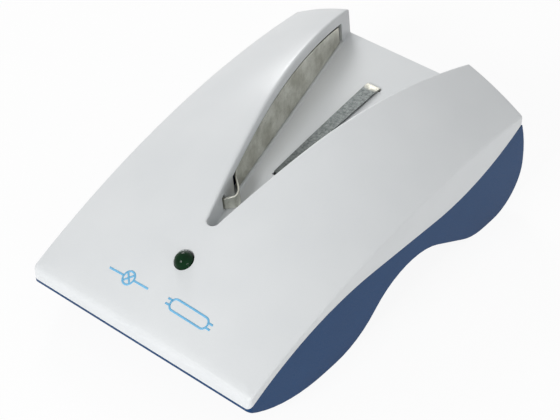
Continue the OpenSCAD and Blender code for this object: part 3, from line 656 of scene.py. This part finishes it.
def shellPoint(row, column, deep):
    # columns run from the channel floor up the wall, over the top and down the side to the seam;
    # deep is 0 on the outer face and 1 on the inner face
    rimX, rimY, rimZ = rimPoint(row, deep)
    if column < wallSteps:
        low = floorZ(wallPoint(row, rimZ, deep)[1])
        top = rimPoint(row, 0)[2] - upper["windowDrop"]
        rise = top - low - upper["sill"]
        stops = [low + upper["sill"] + rise * i / (wallSteps - 2) for i in range(wallSteps - 1)]
        z = ([low - deep * upper["floorDepth"]] + stops)[column]
        x, y = wallPoint(row, z, deep)
        return x, y, z
    column -= wallSteps
    roundR = upper["innerRound"] if deep else body["edgeR"]
    skirt = deep * body["wall"]
    if column <= topSteps:
        sideX, sideY = outlinePoint(row, skirt + roundR + upper["edgeShoulder"], deep)
        share = column / topSteps
        x = rimX + (sideX - rimX) * share
        y = rimY + (sideY - rimY) * share
        return x, y, roofZ(x, y, deep)
    column -= topSteps + 1
    if column < len(edgeTurns):
        inset = roundR * (1 - math.sin(math.radians(edgeTurns[column])))
        x, y = outlinePoint(row, skirt + inset, deep)
        return x, y, roofZ(x, y, deep) - (roundOff(inset, roundR) if deep else 0)
    column -= len(edgeTurns) - 1
    x, y = outlinePoint(row, skirt, deep)
    high = roofZ(x, y, deep) - (roundR if deep else 0)
    low = seamZ(y) + upper["seamGap"]
    return x, y, high + (low - high) * column / bandSteps


def floorPoint(row, share, deep):
    # place on the channel floor, share of the way across from one wall to the other
    x, y, z = shellPoint(row, 0, deep)
    return x * (1 - 2 * share), y, z


def inOpening(face, spots):
    # true for a face of the plain grid that lies in the window or the slot of the wall
    rows = [spots[v][0] for v in face.verts]
    columns = [spots[v][1] for v in face.verts]
    if min(columns) < 1 or max(columns) > wallSteps - 1 or max(rows) > straightCount:
        return False
    middle = sum(rowY[r] for r in rows) / len(rows)
    return any(low < middle < high for low, high in (upper["windowY"], upper["slotY"]))


def inOrder(items):
    # each item once, in the order met
    return list(dict.fromkeys(items))


def shellSkin(bm, deep):
    # one face of the shell: a plain grid bent over it, the channel floor and the back wall
    columnCount = wallSteps + topSteps + len(edgeTurns) + bandSteps
    grid = bmesh.ops.create_grid(bm, x_segments=rowCount, y_segments=columnCount, size=1.0)["verts"]
    spots = {v: (round((v.co.x + 1) / 2 * rowCount), round((v.co.y + 1) / 2 * columnCount)) for v in grid}
    faces = inOrder(face for vert in grid for face in vert.link_faces)
    openings = [face for face in faces if inOpening(face, spots)]
    for vert, (row, column) in spots.items():
        vert.co = shellPoint(row, column, deep)
    bmesh.ops.delete(bm, geom=openings, context="FACES")
    half = rowCount // 2
    patch = bmesh.ops.create_grid(bm, x_segments=half, y_segments=shellGrid["floor"], size=1.0)["verts"]
    for vert in patch:
        vert.co = floorPoint(round((vert.co.x + 1) / 2 * half), (vert.co.y + 1) / 2, deep)
    verts = [v for v in grid if v.is_valid] + patch
    bmesh.ops.remove_doubles(bm, verts=verts, dist=2 * hair)
    verts = [v for v in verts if v.is_valid]
    backY = body["rearY"] - deep * body["wall"]
    back = [v for v in verts if v.co.y > backY - hair]
    ends = sorted(back, key=lambda v: v.co.z)[:2]
    backEdges = inOrder(e for v in back for e in v.link_edges if e.is_boundary)
    edges = [e for e in backEdges if all(v.co.y > backY - hair for v in e.verts)]
    edges.append(bm.edges.new(ends))
    bmesh.ops.contextual_create(bm, geom=edges)
    faces = inOrder(face for vert in verts for face in vert.link_faces)
    bmesh.ops.recalc_face_normals(bm, faces=faces)
    if deep:
        bmesh.ops.reverse_faces(bm, faces=faces)
    return verts


def edgeLoops(verts):
    # the open edges at these points as joined runs, the shortest first
    loops = []
    left = dict.fromkeys(e for v in verts for e in v.link_edges if e.is_boundary)
    while left:
        loop = [left.popitem()[0]]
        for edge in loop:
            for vert in edge.verts:
                for other in vert.link_edges:
                    if other in left:
                        del left[other]
                        loop.append(other)
        loops.append(loop)
    return sorted(loops, key=len)


def makeUpperShell():
    bm = bmesh.new()
    outer = shellSkin(bm, 0)
    inner = shellSkin(bm, 1)
    outerLoops = edgeLoops(outer)
    innerLoops = edgeLoops(inner)
    for first, second in zip(outerLoops, innerLoops):
        bmesh.ops.bridge_loops(bm, edges=first + second)
    bmesh.ops.recalc_face_normals(bm, faces=bm.faces)
    # the rim and the foot of the channel wall are rounded, on the outer face only
    own = set(outer)
    bends = {}
    for edge in bm.edges:
        if len(edge.link_faces) == 2 and all(v in own for v in edge.verts):
            bends[edge] = edge.calc_face_angle_signed(0)
    backRimX = rimPoint(rowCount, 0)[0]
    foot = []
    rim = []
    for edge, bend in bends.items():
        middle = (edge.verts[0].co + edge.verts[1].co) / 2
        atBack = all(v.co.y > body["rearY"] - hair for v in edge.verts)
        if bend < -bendLimit and not atBack and abs(middle.z - floorZ(middle.y)) < 10 * hair:
            foot.append(edge)
        elif bend > bendLimit and atBack:
            if abs(middle.x) > backRimX and middle.z > seamZ(middle.y) + upper["edgeBand"]:
                rim.append(edge)
        elif bend > bendLimit and abs(middle.x) < backRimX:
            if middle.z > skinZ(middle.x, middle.y) - upper["edgeBand"]:
                rim.append(edge)
    print("rim edges", len(rim), "foot edges", len(foot), "loops", [len(loop) for loop in outerLoops])
    bmesh.ops.bevel(bm, geom=foot, offset=upper["footRound"], segments=upper["footRoundSteps"],
                    profile=0.5, affect="EDGES", material=-1)
    rim = [e for e in rim if e.is_valid]
    bmesh.ops.bevel(bm, geom=rim, offset=upper["rimRound"], segments=upper["rimRoundSteps"],
                    profile=0.5, affect="EDGES", material=-1)
    return finishPiece(bm, "upperShell", pearl, sharp=upper["sharpAngle"])


def carvePiece(piece, cutter):
    # cuts the cutter out of the piece and keeps the result as the piece's own mesh
    tool = bpy.data.objects.new("cutter", cutter)
    scene.collection.objects.link(tool)
    cut = piece.modifiers.new("cut", "BOOLEAN")
    cut.operation = "DIFFERENCE"
    cut.solver = "EXACT"
    cut.object = tool
    graph = bpy.context.evaluated_depsgraph_get()
    carved = bpy.data.meshes.new_from_object(piece.evaluated_get(graph))
    piece.modifiers.remove(cut)
    bpy.data.objects.remove(tool)
    piece.data = carved


def shellCutter():
    # the indicator's hole and the two slots of the floor strip
    bm = bmesh.new()
    bmesh.ops.create_cone(bm, cap_ends=True, segments=upper["holeSteps"], radius1=upper["holeR"],
                          radius2=upper["holeR"], depth=upper["holeLength"],
                          matrix=Matrix.Translation((0, upper["holeY"], upper["holeMiddleZ"])))
    for y, width in upper["stripSlots"]:
        size = Matrix.Diagonal((width, upper["stripSlotLength"], upper["slotDepth"], 1))
        place = Matrix.Translation((0, y, floorZ(y) - upper["slotSink"]))
        bmesh.ops.create_cube(bm, size=1, matrix=place @ size)
    bmesh.ops.transform(bm, matrix=toPart, verts=bm.verts)
    mesh = bpy.data.meshes.new("cutter")
    bm.to_mesh(mesh)
    bm.free()
    return mesh


shellPiece = makeUpperShell()
carvePiece(shellPiece, shellCutter())
shellPiece.data.shade_smooth()
shellPiece.data.set_sharp_from_angle(angle=math.radians(upper["sharpAngle"]))
addBevel(shellPiece, upper["edgeEase"] / 1000, upper["easeAngle"])
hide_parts("upper_shell")
print("upper shell made")


# indicator
indicator = {
    "radius": 2.5,
    "flangeR": 2.9,
    "flange": 1.0,
    "total": 8.6,
    "rise": 2.0,         # of the dome above the skin
    "steps": 48,
    "domeSteps": 12,
    "edgeEase": 0.12,
    "easeAngle": 60,
    "sharpAngle": 50,
}


def makeLens():
    bm = bmesh.new()
    low = crownLine(upper["holeY"]) + indicator["rise"] - indicator["total"]
    neck = indicator["total"] - indicator["radius"]
    profile = [(0, 0), (indicator["flangeR"], 0), (indicator["flangeR"], indicator["flange"]),
               (indicator["radius"], indicator["flange"]), (indicator["radius"], neck)]
    for i in range(1, indicator["domeSteps"] + 1):
        turn = math.pi / 2 * i / indicator["domeSteps"]
        profile.append((indicator["radius"] * math.cos(turn), neck + indicator["radius"] * math.sin(turn)))
    chain = [bm.verts.new((x, upper["holeY"], low + z)) for x, z in profile]
    edges = [bm.edges.new(pair) for pair in zip(chain, chain[1:])]
    bmesh.ops.spin(bm, geom=chain + edges, cent=(0, upper["holeY"], 0), axis=(0, 0, 1), angle=2 * math.pi,
                   steps=indicator["steps"], use_merge=True)
    bmesh.ops.remove_doubles(bm, verts=bm.verts, dist=hair)
    bmesh.ops.recalc_face_normals(bm, faces=bm.faces)
    piece = finishPiece(bm, "indicatorLens", lens, sharp=indicator["sharpAngle"])
    addBevel(piece, indicator["edgeEase"] / 1000, indicator["easeAngle"])
    return piece


lensPiece = makeLens()
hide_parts("led_lens")
print("indicator made")


# printed signs in front of the indicator: a lamp in a circuit, and a tube with its pins
signs = {
    "middleY": 8.7,
    "stroke": 0.5,
    "lift": 0.03,
    "sheet": 0.05,
    "lampX": -10.0,
    "lampR": 1.6,
    "lampSteps": 32,
    "crossInset": 0.1,
    "wire": 4.8,
    "tubeX": 9.6,
    "tubeHalf": 5.8,
    "tubeR": 1.35,
    "tubeTurns": 10,     # steps round each end of the tube
    "tubeSteps": 8,      # steps along each side of it
    "pin": 1.5,
    "pinPitch": 1.2,
    "pinInset": 0.25,
    "wireSteps": 6,
    "crossSteps": 3,     # from the middle to each end
    "pinSteps": 3,
    "sharpAngle": 60,
}


def stroke(bm, path, closed=False):
    # one printed line along the path, laid on the skin
    count = len(path) if closed else len(path) - 1
    grid = bmesh.ops.create_grid(bm, x_segments=count, y_segments=1, size=1.0)["verts"]
    for vert in grid:
        i = round((vert.co.x + 1) / 2 * count)
        here = Vector(path[i % len(path)])
        after = Vector(path[(i + 1) % len(path)] if closed else path[min(i + 1, count)])
        before = Vector(path[(i - 1) % len(path)] if closed else path[max(i - 1, 0)])
        run = (after - before).normalized()
        spot = here + Vector((-run.y, run.x)) * (signs["stroke"] / 2 * vert.co.y)
        vert.co = (spot.x, spot.y, skinZ(spot.x, spot.y) + signs["lift"])
    bmesh.ops.remove_doubles(bm, verts=grid, dist=2 * hair)


def makeSigns():
    bm = bmesh.new()
    y = signs["middleY"]
    x = signs["lampX"]
    r = signs["lampR"]
    turns = [math.tau * i / signs["lampSteps"] for i in range(signs["lampSteps"])]
    stroke(bm, [(x + r * math.cos(turn), y + r * math.sin(turn)) for turn in turns], True)
    reach = (r - signs["crossInset"]) / math.sqrt(2)
    wireSteps = signs["wireSteps"]
    crossSteps = signs["crossSteps"]
    for side in (-1, 1):
        stroke(bm, [(x + side * (r + signs["wire"] * i / wireSteps), y) for i in range(wireSteps + 1)])
        steps = range(-crossSteps, crossSteps + 1)
        stroke(bm, [(x + reach * i / crossSteps, y + side * reach * i / crossSteps) for i in steps])
    x = signs["tubeX"]
    r = signs["tubeR"]
    half = signs["tubeHalf"] - r
    tubeSteps = signs["tubeSteps"]
    tube = []
    for side, start in ((1, -90), (-1, 90)):
        for i in range(signs["tubeTurns"] + 1):
            turn = math.radians(start + 180 * i / signs["tubeTurns"])
            tube.append((x + side * half + r * math.cos(turn), y + r * math.sin(turn)))
        for i in range(1, tubeSteps):
            tube.append((x + side * half - side * 2 * half * i / tubeSteps, y + side * r))
    stroke(bm, tube, True)
    pinSteps = signs["pinSteps"]
    for side in (-1, 1):
        start = x + side * (signs["tubeHalf"] - signs["pinInset"])
        for pin in (-0.5, 0.5):
            level = y + pin * signs["pinPitch"]
            stroke(bm, [(start + side * signs["pin"] * i / pinSteps, level) for i in range(pinSteps + 1)])
    bmesh.ops.recalc_face_normals(bm, faces=bm.faces)
    for face in bm.faces:
        if face.normal.z < 0:
            face.normal_flip()
    piece = finishPiece(bm, "printedSigns", printInk, sharp=signs["sharpAngle"])
    film = piece.modifiers.new("film", "SOLIDIFY")
    film.thickness = signs["sheet"] / 1000
    film.offset = -1
    return piece


signPiece = makeSigns()
print("signs made")


# the other pieces: node, name, finish, edge ease in mm, slot, body and edge angle in degrees
for node, name, material, width, slot, rider, angle in (
        ("lower_shell", "lowerShell", blue, 0.14, "shell_blue", "housing", 40),
        ("battery_door", "batteryDoor", blue, 0.15, "shell_blue", "door", 40),
        ("door_pad", "doorPad", foam, 0.25, "foam", "door", 40),
        ("battery_case", "batteryCase", jacket, 0.1, "battery_jacket", "housing", 40),
        ("battery_end_cap", "batteryEndCap", capPlastic, 0.2, "battery_cap", "housing", 40),
        ("battery_terminals", "batteryTerminals", nickel, 0.05, "nickel", "housing", 40),
        ("contact_carrier", "contactCarrier", fibreBoard, 0.12, "black_board", "housing", 40),
        ("positive_leaf", "positiveLeaf", nickel, 0.05, "nickel", "housing", 35),
        ("negative_leaf", "negativeLeaf", nickel, 0.05, "nickel", "housing", 35),
        ("circuit_board", "circuitBoard", boardPaper, 0.06, "board", "housing", 40),
        ("board_screws", "boardScrews", zinc, 0.06, "zinc", "housing", 40),
        ("solder_joints", "solderJoints", tinned, 0.05, "solder", "housing", 40),
        ("resistors", "resistorBodies", lacquer, 0.25, "resistor", "housing", 40),
        ("transistors", "transistorBodies", blackEpoxy, 0.1, "black_plastic", "housing", 40),
        ("capacitor", "discCapacitor", discGlaze, 0.15, "capacitor", "housing", 40),
        ("side_contact", "sideContact", plateSteel, 0.05, "contact_steel", "side_spring", 30),
        ("centre_contact", "centreContact", stripTin, 0.05, "contact_strip", "centre_spring", 30),
        ("housing_screws", "housingScrews", zinc, 0.1, "zinc", "housing", 40),
        ("positive_lead", "positiveLead", redSleeve, 0, "wire_red", "housing", 60),
        ("negative_lead", "negativeLead", blackSleeve, 0, "wire_black", "housing", 60),
        ("side_contact_wire", "sideContactWire", yellowSleeve, 0, "wire_yellow", "housing", 60),
        ("centre_contact_wire", "centreContactWire", blueSleeve, 0, "wire_blue", "housing", 60)):
    dressNode(node, name, material, width / 1000, rider, angle)
for node in ("led_leads", "resistor_leads", "transistor_legs"):
    paintNode(node, tinned)
print("other pieces dressed")


# studio
studio = {
    "floorReach": 6.0,
    "floorDrop": 0.00005,
    "floorTone": 0.97,
    "floorRoughness": 0.9,
    "floorShare": 0.92,   # how far the camera sees the floor as plain white
    "worldGrey": 0.37,    # of the room's light, against 1 where the room itself is seen
    "lampSize": 0.24,
    # watts and place; the lower half of the low lamp is under the floor
    "lamps": {
        "frontLamp": (3.4, (0.0, -0.68, 0.4)),
        "rearLamp": (1.6, (-0.5, 0.4, 0.4)),
        "lowLamp": (1.75, (0.64, -0.2, 0.0)),
    },
}


def seenRays(tree):
    # 1 for the rays that show the background: the camera's, mirrored and passing ones
    rays = tree.nodes.new("ShaderNodeLightPath")
    total = rays.outputs["Is Camera Ray"]
    for name in ("Is Glossy Ray", "Is Transmission Ray"):
        either = tree.nodes.new("ShaderNodeMath")
        either.operation = "MAXIMUM"
        tree.links.new(total, either.inputs[0])
        tree.links.new(rays.outputs[name], either.inputs[1])
        total = either.outputs[0]
    return total


def makeFloor():
    bm = bmesh.new()
    bmesh.ops.create_grid(bm, x_segments=1, y_segments=1, size=studio["floorReach"])
    mesh = bpy.data.meshes.new("floor")
    bm.to_mesh(mesh)
    bm.free()
    floor = bpy.data.objects.new("floor", mesh)
    scene.collection.objects.link(floor)
    floor.location.z = -studio["floorDrop"]
    material, tree, shader, _ = newMaterial("floorPaper")
    tone = studio["floorTone"]
    shader.inputs["Base Color"].default_value = (tone, tone, tone, 1)
    shader.inputs["Roughness"].default_value = studio["floorRoughness"]
    output = next(n for n in tree.nodes if n.type == "OUTPUT_MATERIAL")
    glow = tree.nodes.new("ShaderNodeEmission")
    seen = tree.nodes.new("ShaderNodeMath")
    seen.operation = "MULTIPLY"
    seen.inputs[1].default_value = studio["floorShare"]
    tree.links.new(seenRays(tree), seen.inputs[0])
    mix = tree.nodes.new("ShaderNodeMixShader")
    tree.links.new(seen.outputs[0], mix.inputs[0])
    tree.links.new(shader.outputs["BSDF"], mix.inputs[1])
    tree.links.new(glow.outputs["Emission"], mix.inputs[2])
    tree.links.new(mix.outputs[0], output.inputs["Surface"])
    mesh.materials.append(material)


def makeLamp(name, power, size, place):
    lamp = bpy.data.lights.new(name, "AREA")
    lamp.energy = power
    lamp.size = size
    lampObject = bpy.data.objects.new(name, lamp)
    scene.collection.objects.link(lampObject)
    place = Vector(place)
    aim = (-place).to_track_quat("-Z", "Y").to_matrix().to_4x4()
    lampObject.matrix_world = Matrix.Translation(place) @ aim


def makeRoom():
    world = bpy.data.worlds.new("room")
    scene.world = world
    world.use_nodes = True
    tree = world.node_tree
    spread = tree.nodes.new("ShaderNodeMapRange")
    spread.inputs["To Min"].default_value = studio["worldGrey"]
    spread.inputs["To Max"].default_value = 1.0
    tree.links.new(seenRays(tree), spread.inputs["Value"])
    background = tree.nodes["Background"]
    background.inputs["Color"].default_value = (1, 1, 1, 1)
    tree.links.new(spread.outputs["Result"], background.inputs["Strength"])


makeFloor()
makeRoom()
for lampName, (power, place) in studio["lamps"].items():
    makeLamp(lampName, power, studio["lampSize"], place)
print("studio set")
